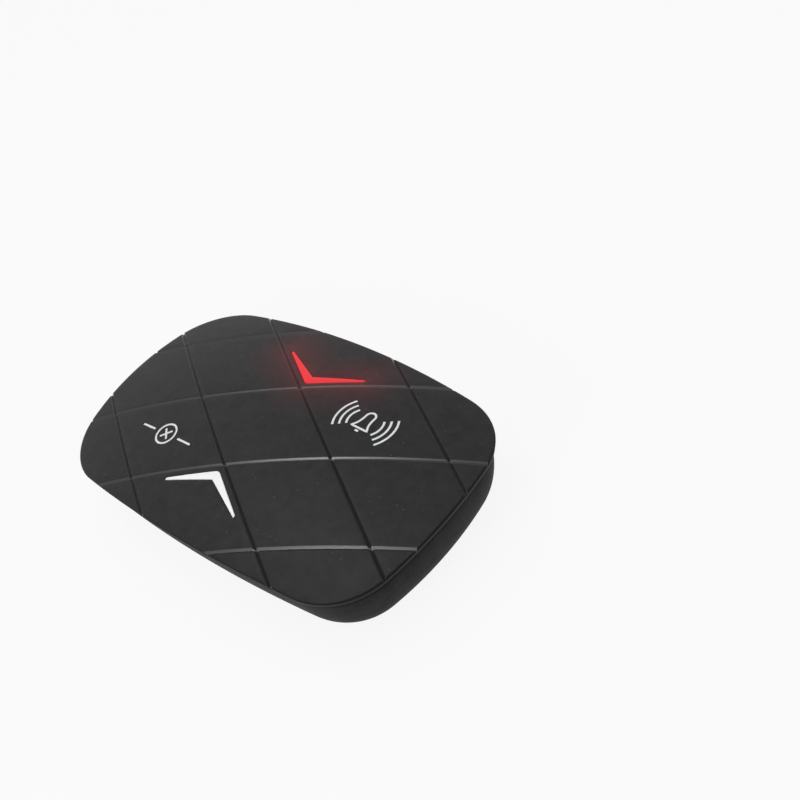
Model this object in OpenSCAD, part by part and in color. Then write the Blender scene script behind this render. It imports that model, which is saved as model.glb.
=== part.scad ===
// Wireless table call button: a rocking crowned cover over a bowl-shaped base.
// Origin at the centre of the footprint, on the surface it rests on. +Z up,
// +X towards the CALL end, -X towards the CLEAR end, +Y towards the red light.

/* [Outline] */
// Length of the cover along X
cover_l = 87; // [78:1:96]
// Width of the cover along Y
cover_w = 52.4; // [48:0.1:60]
// Radius of the two bowed end edges
end_arc_r = 65; // [60:1:110]
// Radius of the two bowed long edges
side_arc_r = 265; // [180:5:400]
// Radius of the four plan corners
corner_r = 14.6; // [9:0.1:17]

/* [Top cover] */
// Height of the crown's highest point above the table
total_h = 19.8; // [17:0.1:22]
// Radius of the crown along the length
crown_long_r = 245; // [220:1:400]
// Radius of the crown across the width
crown_short_r = 110; // [100:1:180]
// Thickness of the cover plate, which is also its visible rim
cover_t = 1.5; // [1.2:0.1:1.8]
// Thickness of the skirt that hangs inside the base
skirt_t = 1.2; // [0.8:0.1:1.6]
// Height of the skirt's lower edge above the inner frame
skirt_lift = 0.8; // [0.7:0.1:1]
// Thickness of the ribs under the cover and on the base's floor
rib_t = 0.8; // [0.6:0.1:1]
// Height of the ribs
rib_h = 1.2; // [0.8:0.1:1.4]
// Distance between the ribs that run across the cover
rib_pitch = 16; // [14:0.5:18]
// Distance of the ribs along the cover from its middle
rib_y = 6; // [4:0.5:8]

/* [Grooves] */
// Distance along X between the points of the diamonds
diamond_l = 36.4; // [30:0.2:42]
// Angle of the grooves to the long axis
groove_angle = 30; // [26:1:34]
// Width of a groove at the surface
groove_w = 0.9; // [0.5:0.1:1.4]
// Depth of a groove
groove_d = 0.5; // [0.3:0.1:0.8]

/* [Chevron lights] */
// Half the distance between a chevron's tips
chevron_half = 9.9; // [7:0.1:11]
// Width of a chevron at its elbow
chevron_w = 2; // [1.6:0.1:2.4]
// Width of a chevron at its tips
chevron_tip_w = 0.5; // [0.3:0.1:0.8]
// Distance from a diamond's point to the chevron's elbow
chevron_gap = 1.5; // [1:0.1:2.2]
// Radius of the chevron's outer elbow
chevron_elbow_r = 1.2; // [0.6:0.1:1.8]
// Clearance round a lens in the cover
lens_fit = 0.06; // [0.03:0.01:0.12]
// Width of the lens flange under the cover
lens_flange = 0.7; // [0.5:0.1:0.9]
// Thickness of the lens flange
lens_flange_t = 0.7; // [0.5:0.1:1]
// Gap under the lens in which the cover can rock
lens_gap = 0.5; // [0.4:0.1:0.7]
// Length of a light guide's foot over its lamp
guide_foot_l = 7; // [5:0.5:9]
// Width of a light guide's foot
guide_foot_w = 2.4; // [2:0.1:3]

/* [Rocking pivot] */
// Radius of the pivot pins
pin_r = 1; // [0.8:0.1:1.2]
// Running clearance of a pin in the cover's lug
pin_clear = 0.05; // [0.03:0.01:0.08]
// Distance from the long axis to the inner face of a post
post_y = 17.7; // [17.4:0.1:18]
// Gap between the plate's lowest line over a lug and the lug's round end
lug_lift = 0.15; // [0.1:0.05:0.3]
// Wall of a lug or a post round its pin
pin_wall = 0.8; // [0.6:0.1:1]
// Thickness of a lug along the pin
lug_t = 1.6; // [1.2:0.1:1.8]
// Thickness of a post along the pin
post_t = 1.5; // [1.2:0.1:1.8]
// Gap between a lug and its post
lug_gap = 0.2; // [0.1:0.05:0.3]

/* [Base] */
// Gap between the cover's rim and the base
seam_gap = 0.6; // [0.55:0.05:0.8]
// How far the base's upper edge lies inside the cover's edge
edge_inset = 1.2; // [0.6:0.1:1.5]
// How far the bowl draws in from its upper edge to its flat bottom
bowl_run = 8.3; // [7:0.1:9.5]
// Thickness of the base's wall and floor
wall = 1.5; // [1.2:0.1:1.8]
// How far the feet lift the base off the table
foot_lift = 0.5; // [0.4:0.1:0.8]
// Clearance between the base's wall and the cover's skirt
skirt_clear = 0.8; // [0.6:0.1:1.2]

/* [Feet and screws] */
// Radius of a rubber foot
foot_r = 4; // [3.4:0.1:4.2]
// Depth of a foot's recess
foot_seat = 0.7; // [0.5:0.1:0.9]
// Distance between the screws along X
screw_pitch_x = 50; // [48:1:52]
// Distance between the screws along Y
screw_pitch_y = 22; // [21:1:24]
// Radius of a screw's shank
screw_r = 1; // [0.8:0.05:1.1]
// Radius of a screw's head
screw_head_r = 1.9; // [1.7:0.1:2.1]
// Height of a screw's head
screw_head_h = 1.3; // [1:0.1:1.5]
// Wall of a screw boss
boss_wall = 1; // [0.8:0.1:1.2]
// Clearance round a screw's head and over its tip
head_clear = 0.2; // [0.1:0.05:0.3]
// Material over the tip of a screw
tip_cover = 0.5; // [0.4:0.1:0.6]

/* [Circuit board] */
// Thickness of the circuit board
board_t = 1; // [0.8:0.1:1.2]
// Length of the circuit board
board_l = 62; // [61:1:63]
// Width of the circuit board
board_w = 33; // [32:1:34]
// Radius of the board's corners
board_corner_r = 5; // [3:0.5:7]
// Distance of the chip and the crystal from the board's middle
chip_x = 7; // [6:0.5:9]
// Distance of the chip and the crystal from the long axis
chip_y = 3.5; // [3:0.1:4.5]
// Side of the radio chip
chip_side = 5; // [4:0.5:6]
// Height of the radio chip
chip_h = 0.9; // [0.7:0.05:1]
// Length of the crystal
crystal_l = 3.2; // [2.5:0.1:3.6]
// Width of the crystal
crystal_w = 2.5; // [2:0.1:2.8]
// Height of the crystal
crystal_h = 0.8; // [0.5:0.1:0.9]
// Length of the antenna
antenna_l = 9; // [7:0.5:10]
// Width of the antenna
antenna_w = 2; // [1.5:0.1:2.4]
// Height of the antenna
antenna_h = 1.2; // [1:0.1:1.4]
// Length of a chip resistor or capacitor
passive_l = 1.6; // [1:0.1:2]
// Width of a chip resistor or capacitor
passive_w = 0.8; // [0.5:0.1:1.2]
// Height of a chip resistor or capacitor
passive_h = 0.5; // [0.3:0.05:0.6]
// Distance between neighbours in a row of them
passive_pitch = 2.6; // [2.2:0.1:3]
// Length of a lamp
led_l = 3.5; // [3:0.1:4]
// Width of a lamp
led_w = 2.8; // [2.4:0.1:3]
// Height of a lamp's body
led_h = 0.8; // [0.6:0.1:0.9]

/* [Switches] */
// Distance from the pivot to each switch
switch_x = 24; // [22:0.5:26]
// Side of a switch's body
switch_side = 6.2; // [5.8:0.1:6.4]
// Height of a switch's body
switch_h = 3; // [2.8:0.1:3]
// Thickness of a switch's top and bottom walls
switch_wall = 0.6; // [0.4:0.1:0.7]
// Radius of a switch's plunger
plunger_r = 1.7; // [1.4:0.1:1.9]
// Running clearance of a plunger in its switch
plunger_clear = 0.05; // [0.03:0.01:0.08]
// How far a plunger stands out of its switch at rest
plunger_out = 1.4; // [1.2:0.1:1.6]
// Height of the collar that keeps a plunger in its switch
collar_h = 0.8; // [0.6:0.1:0.9]
// Radial reach of that collar
collar_reach = 0.6; // [0.4:0.1:0.7]
// Radius of the cover's nib over a switch
nib_r = 2; // [1.5:0.1:2.4]

/* [Inner frame and membrane] */
// Thickness of the inner frame's deck
deck_t = 1; // [0.8:0.1:1.2]
// Space between the circuit board and the deck
deck_space = 2.05; // [2:0.05:2.3]
// Clearance of the deck inside the base
deck_clear = 0.2; // [0.1:0.05:0.4]
// Clearance round the parts that pass through the deck
window_clear = 0.3; // [0.2:0.05:0.4]
// Thickness of the silicone membrane
membrane_t = 0.5; // [0.4:0.05:0.6]
// Radius of the membrane's domes over the switches
dome_r = 4.2; // [3.8:0.1:4.8]
// How far the membrane's edge stays inside the cover's skirt
membrane_margin = 0.4; // [0.3:0.1:0.8]
// Gap between parts that touch through soft rubber
touch_gap = 0.05; // [0.03:0.01:0.08]

/* [Battery] */
// Radius of the coin cell, a standard size
cell_r = 10; // [9.9:0.1:10.1]
// Thickness of the coin cell, a standard size
cell_t = 3.2; // [3:0.1:3.3]
// Width of the step round the cell's raised face
cell_step = 1.1; // [0.8:0.1:1.4]
// Height of that step
cell_step_h = 0.3; // [0.2:0.05:0.4]
// Clearance round the coin cell
cell_clear = 0.2; // [0.15:0.05:0.3]
// Sheet thickness of the contacts
contact_t = 0.2; // [0.15:0.05:0.3]
// Width of the contacts
contact_w = 4; // [3:0.5:5]
// Height over the cell for the sprung contact
contact_space = 0.8; // [0.6:0.1:1]
// Length of a contact's pad on the board
contact_pad = 3; // [2:0.5:4]
// Length of the sprung contact's slope down to the cell
contact_run = 4; // [3:0.5:6]
// Wall of the battery door's cup
cup_wall = 0.9; // [0.8:0.1:1]
// Thickness of the battery door's flange
door_t = 1.4; // [1.2:0.1:1.6]
// How far the flange stands out from the cup
door_flange = 2.4; // [2.2:0.1:2.8]
// Clearance round the battery door
door_clear = 0.15; // [0.1:0.05:0.25]
// Thickness of the floor ring that the door locks on
lock_ring_t = 1.1; // [0.9:0.1:1.2]
// Height of a bayonet lug
bayonet_h = 0.9; // [0.7:0.1:1]
// How far the cup's rim stands over its lugs
cup_rim = 0.2; // [0.1:0.05:0.4]
// Reach of a bayonet lug
bayonet_reach = 1; // [0.8:0.1:1.2]
// Width of a bayonet lug in degrees
bayonet_angle = 24; // [18:1:28]
// Turn that frees the door
door_turn = 40; // [36:1:44]
// Section radius of the door's sealing ring
seal_r = 0.45; // [0.35:0.05:0.5]
// Width of the coin slot
coin_slot_w = 1.8; // [1.4:0.1:2.2]
// Length of the coin slot
coin_slot_l = 15; // [12:0.5:17]
// Depth of the coin slot
coin_slot_d = 0.7; // [0.4:0.1:0.8]

/* [Hidden] */
$fn = 64;
cut = 1;               // how far a cutter runs past what it cuts
press_gap = 0.01;      // radial gap of a pin or screw that is fixed in its hole
arc_steps = 8;         // straight steps in each arc of a lofted ring
bowl_steps = 9;        // rings between the base's upper edge and its bottom

// Plan outline: the corner arc touches the end arc and the side arc inside.
end_centre = [cover_l/2 - end_arc_r, 0];
side_centre = [0, cover_w/2 - side_arc_r];
end_gap = end_arc_r - corner_r;
side_gap = side_arc_r - corner_r;
centre_gap = norm(side_centre - end_centre);
along_gap = (end_gap*end_gap - side_gap*side_gap + centre_gap*centre_gap)/(2*centre_gap);
across_gap = sqrt(end_gap*end_gap - along_gap*along_gap);
gap_dir = (side_centre - end_centre)/centre_gap;
corner_centre = end_centre + along_gap*gap_dir + across_gap*[-gap_dir[1], gap_dir[0]];
end_angle = atan2(corner_centre[1] - end_centre[1], corner_centre[0] - end_centre[0]);
side_angle = atan2(corner_centre[1] - side_centre[1], corner_centre[0] - side_centre[0]);

// Each arc of the outline: centre, radius, first and last angle.
outline_arcs = [
    [end_centre, end_arc_r, -end_angle, end_angle],
    [corner_centre, corner_r, end_angle, side_angle],
    [side_centre, side_arc_r, side_angle, 180 - side_angle],
    [[-corner_centre[0], corner_centre[1]], corner_r, 180 - side_angle, 180 - end_angle],
    [-end_centre, end_arc_r, 180 - end_angle, 180 + end_angle],
    [-corner_centre, corner_r, 180 + end_angle, 180 + side_angle],
    [-side_centre, side_arc_r, 180 + side_angle, 360 - side_angle],
    [[corner_centre[0], -corner_centre[1]], corner_r, 360 - side_angle, 360 - end_angle]
];

// Crown curvatures, used to lay the grooves on the crown
curve_long = 1/(2*crown_long_r);
curve_short = 1/(2*crown_short_r);
groove_curve = curve_long*pow(cos(groove_angle), 2) + curve_short*pow(sin(groove_angle), 2);
groove_ring_r = 1/(2*groove_curve);

// Seam between the cover and the base
under_seam = cover_t + seam_gap;
floor_z = foot_lift + wall;
skirt_inset = edge_inset + wall + skirt_clear;
// A height under the whole plate, and how far its rings and grooves reach
rim_low = crown_z([cover_l, cover_w]/2, cover_t) - cut;
ring_reach = 0.6*cover_l;

// Battery door, its cup and the ring that it locks on
cup_r = cell_r + cell_clear + cup_wall;
flange_r = cup_r + door_flange;
ring_z = foot_lift + door_t + touch_gap;
ring_top = ring_z + lock_ring_t;
bayonet_z = ring_top + touch_gap;
bayonet_top = bayonet_z + bayonet_h;
cup_top = bayonet_top + cup_rim;
lug_tip_r = cup_r + bayonet_reach;
ring_r = flange_r + door_clear + wall;
door_seal_r = (cup_r + flange_r)/2;
door_lugs = 3;
stop_angle = 6;        // width of a stop that ends the door's turn
notch_room = 6;        // how much wider a notch is than its lug

// Coin cell and its contacts
cell_z = foot_lift + door_t + touch_gap;
cell_top = cell_z + cell_t;

// Circuit board and what stands on it
board_z = cell_top + contact_space;
board_top = board_z + board_t;
switch_top = board_top + switch_h;
plunger_top = switch_top + plunger_out;
collar_r = plunger_r + collar_reach;
collar_room = switch_h - 2*switch_wall - collar_h;
collar_z = board_top + switch_wall + collar_room/2;

// Inner frame, membrane and the nibs that press through it
deck_low = board_top + deck_space;
deck_z = deck_low + deck_t;
membrane_z = deck_z + membrane_t;
dome_low = plunger_top + touch_gap;
dome_top = dome_low + membrane_t;
nib_z = dome_top + touch_gap;
skirt_z = deck_z + skirt_lift;
membrane_inset = skirt_inset + skirt_t + membrane_margin;

// Pivot
lug_r = pin_r + pin_clear + pin_wall;
post_r = pin_r + pin_wall;
lug_y = post_y + post_t + lug_gap;
pivot_z = crown_z([0, lug_y + lug_t], cover_t) - lug_lift - lug_r;

// Diamonds and chevrons
half_l = diamond_l/2;
half_w = half_l*tan(groove_angle);
chevron_y = half_w + chevron_gap;
chevron_depth = chevron_half*tan(groove_angle);
led_y = chevron_y + chevron_w;

// Screws: head under the base, shank up into the inner frame
screw_x = screw_pitch_x/2;
screw_y = screw_pitch_y/2;
foot_top = foot_lift + foot_seat;
head_top = foot_top + screw_head_h;
screw_clear = 0.1;
boss_r = screw_head_r + head_clear + boss_wall;
pillar_r = screw_r + boss_wall;
screw_end = deck_z - tip_cover;

// Height of the crown over a plan point, or of a face that lies a drop under it
function crown_z(p, drop = 0) = let (
    reach = crown_long_r - crown_short_r + sqrt(pow(crown_short_r - drop, 2) - p[1]*p[1])
) total_h - crown_long_r + sqrt(reach*reach - p[0]*p[0]);

// Points of the outline drawn in by an inset
function ring_points(inset) = [
    for (arc = outline_arcs)
        for (i = [0 : arc_steps - 1])
            let (angle = arc[2] + (arc[3] - arc[2])*i/arc_steps)
                arc[0] + (arc[1] - inset)*[cos(angle), sin(angle)]
];

// One ring of the bowl: share 0 is its upper edge and share 1 its bottom
function bowl_ring(share, inset, bottom) = let (
    edge = ring_points(inset),
    low = ring_points(inset + bowl_run*(1 - cos(90*share)))
) [
    for (i = [0 : len(edge) - 1])
        let (top = crown_z(edge[i], under_seam))
            [low[i][0], low[i][1], top + (bottom - top)*sin(90*share)]
];

// How far the bowl's inner face lies inside the outline at a height
function bowl_inset(z) = let (
    top = crown_z([0, cover_w/2], under_seam),
    share = (top - z)/(top - floor_z)
) edge_inset + wall + bowl_run*(1 - sqrt(1 - share*share));

// Chevron with its elbow at the origin, opening towards +Y, grown all round
function chevron_points(grow) = let (
    outer_low = -grow/cos(groove_angle),
    inner_rise = (chevron_depth + chevron_tip_w - chevron_w)/chevron_half,
    inner_low = chevron_w + grow*sqrt(1 + inner_rise*inner_rise),
    tip = chevron_half + grow,
    outer_tip = outer_low + tip*tan(groove_angle),
    inner_tip = inner_low + tip*inner_rise,
    bend_r = chevron_elbow_r + grow,
    steps = 6
) concat(
    [[tip, outer_tip], [tip, inner_tip], [0, inner_low], [-tip, inner_tip], [-tip, outer_tip]],
    [for (i = [0 : steps])
        let (angle = 270 + groove_angle*(2*i/steps - 1))
            [0, chevron_elbow_r/cos(groove_angle)] + bend_r*[cos(angle), sin(angle)]]
);

// The far side of a chevron, grown all round and open towards +Y
function beyond_chevron(grow) = let (
    tip = chevron_half + grow,
    outer_low = -grow/cos(groove_angle),
    tip_y = outer_low + tip*tan(groove_angle)
) [[0, outer_low], [tip, tip_y], [tip, cover_w], [-tip, cover_w], [-tip, tip_y]];

// Solid outline drawn in by an inset, with true arcs
module outline(inset = 0) {
    far = 3*corner_r;
    end_dir = [cos(end_angle), sin(end_angle)];
    side_dir = [cos(side_angle), sin(side_angle)];
    difference() {
        intersection() {
            translate(end_centre) circle(r = end_arc_r - inset, $fn = 360);
            translate(-end_centre) circle(r = end_arc_r - inset, $fn = 360);
            translate(side_centre) circle(r = side_arc_r - inset, $fn = 720);
            translate(-side_centre) circle(r = side_arc_r - inset, $fn = 720);
        }
        for (mx = [0, 1], my = [0, 1])
            mirror([mx, 0])
                mirror([0, my])
                    polygon([corner_centre, corner_centre + far*end_dir,
                             corner_centre + far*(end_dir + side_dir),
                             corner_centre + far*side_dir]);
    }
    for (sx = [-1, 1], sy = [-1, 1])
        translate([sx*corner_centre[0], sy*corner_centre[1]])
            circle(r = corner_r - inset, $fn = 96);
}

// Everything under the crown, or under a face that lies a drop below it
module under_crown(drop = 0) {
    depth = total_h;
    sweep = 2*asin(ring_reach/(crown_long_r - depth));
    translate([0, 0, total_h - crown_long_r])
        rotate([90, 0, 0])
            rotate_extrude(angle = sweep, start = 90 - sweep/2, $fn = 1080)
                intersection() {
                    translate([crown_long_r - crown_short_r, 0])
                        circle(r = crown_short_r - drop, $fn = 720);
                    translate([crown_long_r - depth, -cover_w])
                        square([depth, 2*cover_w]);
                }
}

// V-shaped ring that cuts one groove along the crown
module groove_cutter(angle, distance) {
    lean = distance*cos(angle)*sin(angle)*(curve_long - curve_short)/groove_curve;
    rise = groove_curve*lean*lean
        - distance*distance*(curve_long*pow(sin(angle), 2) + curve_short*pow(cos(angle), 2));
    flare = groove_w/2*(groove_d + cut)/groove_d;
    sweep = 2*asin(ring_reach/groove_ring_r);
    rotate([0, 0, angle])
        translate([lean, distance, total_h + rise - groove_ring_r])
            rotate([90, 0, 0])
                rotate_extrude(angle = sweep, start = 90 - sweep/2, $fn = 1080)
                    polygon([[groove_ring_r - groove_d, 0],
                             [groove_ring_r + cut, flare],
                             [groove_ring_r + cut, -flare]]);
}

// Solid between rings of the bowl, from its upper edge to its bottom
module bowl(inset, bottom, raise = 0) {
    lifted = raise > 0 ? [[for (p = bowl_ring(0, inset, bottom)) p + [0, 0, raise]]] : [];
    levels = concat(lifted, [for (k = [0 : bowl_steps]) bowl_ring(k/bowl_steps, inset, bottom)]);
    count = len(levels[0]);
    points = [for (level = levels) each level];
    top_centre = len(points);
    last = (len(levels) - 1)*count;
    walls = [
        for (k = [0 : len(levels) - 2], i = [0 : count - 1])
            let (a = k*count + i, b = k*count + (i + 1)%count)
                each [[a, b, a + count], [b, b + count, a + count]]
    ];
    top = [for (i = [0 : count - 1]) [top_centre, (i + 1)%count, i]];
    low = [for (i = [0 : count - 1]) [top_centre + 1, last + i, last + (i + 1)%count]];
    polyhedron(
        concat(points, [[0, 0, crown_z([0, 0], under_seam) + raise], [0, 0, bottom]]),
        concat(walls, top, low));
}

// Places its children at the four screws
module at_screws() {
    for (sx = [-1, 1], sy = [-1, 1])
        translate([sx*screw_x, sy*screw_y, 0])
            children();
}

// Turns what is drawn for the CALL side to the side asked for: 1 or -1
module on_side(side) {
    rotate([0, 0, side > 0 ? 0 : 180])
        children();
}

// Rounded rectangle
module rounded_plate(l, w, r) {
    square([l, w - 2*r], center = true);
    square([l - 2*r, w], center = true);
    for (sx = [-1, 1], sy = [-1, 1])
        translate([sx*(l/2 - r), sy*(w/2 - r)])
            circle(r = r);
}

// Upright tab with a round end, across the pivot axis
module pivot_tab(r, near, t, low, high) {
    translate([0, near + t, 0])
        rotate([90, 0, 0])
            linear_extrude(t) {
                translate([0, pivot_z])
                    circle(r = r);
                translate([-r, low])
                    square([2*r, high - low]);
            }
}

// Sector of a ring, centred on an angle
module sector(inner, outer, centre, angle, low, high) {
    rotate([0, 0, centre - angle/2])
        rotate_extrude(angle = angle)
            translate([inner, low])
                square([outer - inner, high - low]);
}

// Repeats its children for each bayonet lug
module each_bayonet() {
    for (k = [0 : door_lugs - 1])
        rotate([0, 0, k*360/door_lugs])
            children();
}

// ---- rocking cover ----

module top_cover() {
    color("#353535")
        difference() {
            union() {
                difference() {
                    intersection() {
                        translate([0, 0, rim_low])
                            linear_extrude(total_h + cut - rim_low) outline();
                        under_crown();
                    }
                    under_crown(cover_t);
                }
                cover_skirt();
                cover_ribs();
                for (side = [-1, 1])
                    on_side(side) {
                        cover_lug();
                        cover_nib();
                    }
            }
            for (angle = [-groove_angle, groove_angle], k = [-3, -1, 1, 3])
                groove_cutter(angle, k*half_l*sin(groove_angle));
            for (side = [-1, 1])
                on_side(side) {
                    translate([0, chevron_y, skirt_z])
                        linear_extrude(total_h) polygon(chevron_points(lens_fit));
                    translate([0, lug_y - lug_gap/2, pivot_z])
                        rotate([-90, 0, 0])
                            cylinder(r = pin_r + pin_clear, h = lug_t + lug_gap);
                }
        }
}

// Ring under the plate that closes the seam from inside
module cover_skirt() {
    intersection() {
        translate([0, 0, skirt_z])
            linear_extrude(total_h - skirt_z)
                difference() {
                    outline(skirt_inset);
                    outline(skirt_inset + skirt_t);
                }
        under_crown(cover_t/2);
    }
}

// Ribs along and across the underside, between the lenses and the nibs
module cover_ribs() {
    low = crown_z([cover_l, cover_w]/2, cover_t + rib_h) - cut;
    difference() {
        intersection() {
            translate([0, 0, low])
                linear_extrude(total_h - low)
                    intersection() {
                        outline(skirt_inset + skirt_t/2);
                        union() {
                            for (k = [-2, -1, 1, 2])
                                translate([k*rib_pitch, 0])
                                    square([rib_t, cover_w], center = true);
                            for (side = [-1, 1])
                                translate([0, side*rib_y])
                                    square([cover_l, rib_t], center = true);
                        }
                    }
            under_crown(cover_t/2);
        }
        under_crown(cover_t + rib_h);
    }
}

// Lug that turns on a pivot pin
module cover_lug() {
    high = crown_z([0, lug_y + lug_t], cover_t) + cover_t/3;
    pivot_tab(lug_r, lug_y, lug_t, pivot_z, high);
}

// Round nib that presses a switch
module cover_nib() {
    high = crown_z([switch_x, 0], cover_t) + cover_t/3;
    translate([switch_x, 0, nib_z])
        cylinder(r = nib_r, h = high - nib_z);
}

// Chevron lens, flush with the crown, held by a flange under the plate
module chevron_lens() {
    tip = [chevron_half + lens_flange, chevron_y + chevron_depth + lens_flange];
    low = crown_z(tip, cover_t + lens_fit) - lens_flange_t;
    intersection() {
        translate([0, chevron_y, low])
            linear_extrude(total_h - low) polygon(chevron_points(0));
        under_crown();
    }
    intersection() {
        translate([0, chevron_y, low])
            linear_extrude(total_h - low) polygon(chevron_points(lens_flange));
        under_crown(cover_t + lens_fit);
    }
}

module call_lens() {
    color("#e0353f") on_side(1) chevron_lens();
}

module clear_lens() {
    color("#e8e8e8") on_side(-1) chevron_lens();
}

// ---- inner frame and what it carries ----

// Clear rod that carries a lamp's light up to its lens
module light_guide() {
    tip = [chevron_half + lens_flange, chevron_y + chevron_depth + lens_flange];
    high = crown_z(tip, cover_t + lens_fit) - lens_flange_t - lens_gap;
    low = board_top + led_h + window_clear;
    translate([0, chevron_y, deck_low])
        linear_extrude(high - deck_low) polygon(chevron_points(0));
    translate([0, chevron_y, deck_z + touch_gap])
        linear_extrude(membrane_t) polygon(chevron_points(lens_flange));
    translate([-guide_foot_l/2, chevron_y, low])
        cube([guide_foot_l, guide_foot_w, deck_low - low]);
}

module call_light_guide() {
    color("#f4f7fa", 0.6) on_side(1) light_guide();
}

module clear_light_guide() {
    color("#f4f7fa", 0.6) on_side(-1) light_guide();
}

module pivot_pins() {
    color("silver")
        for (side = [-1, 1])
            on_side(side)
                translate([0, post_y, pivot_z])
                    rotate([-90, 0, 0])
                        cylinder(r = pin_r, h = post_t + lug_gap + lug_t);
}

module inner_frame() {
    window = switch_side + 2*window_clear;
    color("#dcdcd6")
        difference() {
            union() {
                translate([0, 0, deck_low])
                    linear_extrude(deck_t) outline(bowl_inset(deck_low) + deck_clear);
                at_screws()
                    translate([0, 0, board_top])
                        cylinder(r = pillar_r, h = deck_low + deck_t/2 - board_top);
                for (side = [-1, 1])
                    on_side(side)
                        pivot_tab(post_r, post_y, post_t, deck_z - deck_t/2, pivot_z);
            }
            at_screws()
                translate([0, 0, board_top - cut])
                    cylinder(r = screw_r + press_gap, h = screw_end - board_top + cut);
            for (side = [-1, 1])
                on_side(side) {
                    translate([switch_x, 0, deck_z])
                        cube([window, window, 3*deck_t], center = true);
                    translate([0, chevron_y, deck_low - cut])
                        linear_extrude(deck_t + 2*cut) polygon(chevron_points(window_clear/2));
                    translate([-lug_r - window_clear, lug_y - lug_gap/2, deck_low - cut])
                        cube([2*(lug_r + window_clear), lug_t + window_clear, 3*deck_t]);
                    translate([0, post_y - cut, pivot_z])
                        rotate([-90, 0, 0])
                            cylinder(r = pin_r + press_gap, h = post_t + 2*cut);
                }
        }
}

// Soft sheet on the deck, with a dome over each switch
module splash_membrane() {
    color("#8f9296")
        difference() {
            union() {
                translate([0, 0, deck_z + touch_gap])
                    linear_extrude(membrane_t) outline(membrane_inset);
                for (side = [-1, 1])
                    on_side(side)
                        translate([switch_x, 0, 0])
                            rotate_extrude() dome_plan(dome_r, collar_r, dome_top);
            }
            for (side = [-1, 1])
                on_side(side) {
                    translate([switch_x, 0, 0])
                        rotate_extrude()
                            dome_plan(dome_r - membrane_t, collar_r - membrane_t, dome_low, cut);
                    translate([0, chevron_y, deck_z])
                        linear_extrude(2*cut) polygon(beyond_chevron(lens_flange + window_clear));
                }
        }
}

// Half section of a dome, from the deck up to its flat top
module dome_plan(low_r, top_r, top, below = 0) {
    low = deck_z + touch_gap - below;
    polygon([[0, low], [low_r, low], [low_r, low + below + membrane_t/2], [top_r, top], [0, top]]);
}

// ---- circuit board and its parts ----

module circuit_board() {
    color("#1f5c38")
        translate([0, 0, board_z])
            linear_extrude(board_t)
                difference() {
                    rounded_plate(board_l, board_w, board_corner_r);
                    for (sx = [-1, 1], sy = [-1, 1])
                        translate([sx*screw_x, sy*screw_y])
                            circle(r = screw_r + screw_clear);
                }
}

// Push switch body, hollow round its plunger
module push_switch() {
    translate([switch_x, 0, 0])
        difference() {
            translate([-switch_side/2, -switch_side/2, board_top])
                cube([switch_side, switch_side, switch_h]);
            translate([0, 0, board_top + switch_wall])
                cylinder(r = collar_r + plunger_clear, h = switch_h - 2*switch_wall);
            translate([0, 0, switch_top - switch_wall - cut])
                cylinder(r = plunger_r + plunger_clear, h = switch_wall + 2*cut);
        }
}

// Plunger, held half-way down its travel by the cover's nib
module push_plunger() {
    translate([switch_x, 0, collar_z]) {
        cylinder(r = plunger_r, h = plunger_top - collar_z);
        cylinder(r = collar_r, h = collar_h);
    }
}

module call_switch() {
    color("#2b2b2e") on_side(1) push_switch();
}

module clear_switch() {
    color("#2b2b2e") on_side(-1) push_switch();
}

module call_plunger() {
    color("#d9a441") on_side(1) push_plunger();
}

module clear_plunger() {
    color("#d9a441") on_side(-1) push_plunger();
}

// Surface-mounted lamp: a white body with a lens spot
module lamp() {
    spot_r = led_w/3;
    spot_h = led_h/5;
    translate([0, led_y, board_top]) {
        translate([-led_l/2, -led_w/2, 0])
            cube([led_l, led_w, led_h]);
        translate([0, 0, led_h])
            cylinder(r = spot_r, h = spot_h);
    }
}

module call_led() {
    color("#ff5050") on_side(1) lamp();
}

module clear_led() {
    color("#f2f2ea") on_side(-1) lamp();
}

module radio_chip() {
    color("#202022")
        translate([chip_x, chip_y, board_top + chip_h/2])
            cube([chip_side, chip_side, chip_h], center = true);
}

module crystal() {
    color("silver")
        translate([chip_x, -chip_y, board_top])
            linear_extrude(crystal_h) rounded_plate(crystal_l, crystal_w, crystal_w/6);
}

module antenna() {
    color("#d8d8d0")
        translate([board_l/2 - antenna_w, 0, board_top + antenna_h/2])
            cube([antenna_w, antenna_l, antenna_h], center = true);
}

// Rows of small chip resistors and capacitors
module board_passives() {
    color("#b98a5a")
        for (row = [-1, 1], k = [0 : 3])
            translate([-chip_x - passive_pitch*k, row*chip_y/2, board_top + passive_h/2])
                cube([passive_l, passive_w, passive_h], center = true);
}

// ---- battery and its contacts ----

module coin_cell() {
    color("#c8c8c8")
        translate([0, 0, cell_z]) {
            cylinder(r = cell_r, h = cell_t - cell_step_h);
            cylinder(r = cell_r - cell_step, h = cell_t);
        }
}

// Strip that comes down from the board to the side of the cell
module positive_contact() {
    near = cell_r + touch_gap;
    low = cup_top + 3*touch_gap;
    color("gold")
        translate([0, contact_w/2, 0])
            rotate([90, 0, 0])
                linear_extrude(contact_w)
                    polygon([[-near, low], [-near, board_z], [-near - contact_pad, board_z],
                             [-near - contact_pad, board_z - contact_t],
                             [-near - contact_t, board_z - contact_t], [-near - contact_t, low]]);
}

// Sprung leaf between the board and the top of the cell
module negative_contact() {
    low = cell_top + touch_gap;
    high = board_z;
    bend = contact_run/2;
    root = -bend - contact_pad;
    tip = bend + contact_run/2;
    color("gold")
        translate([0, contact_w/2, 0])
            rotate([90, 0, 0])
                linear_extrude(contact_w)
                    polygon([[root, high], [root, high - contact_t], [-bend, high - contact_t],
                             [bend, low], [tip, low], [tip, low + contact_t],
                             [bend, low + contact_t], [-bend, high]]);
}

// ---- base body ----

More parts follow.
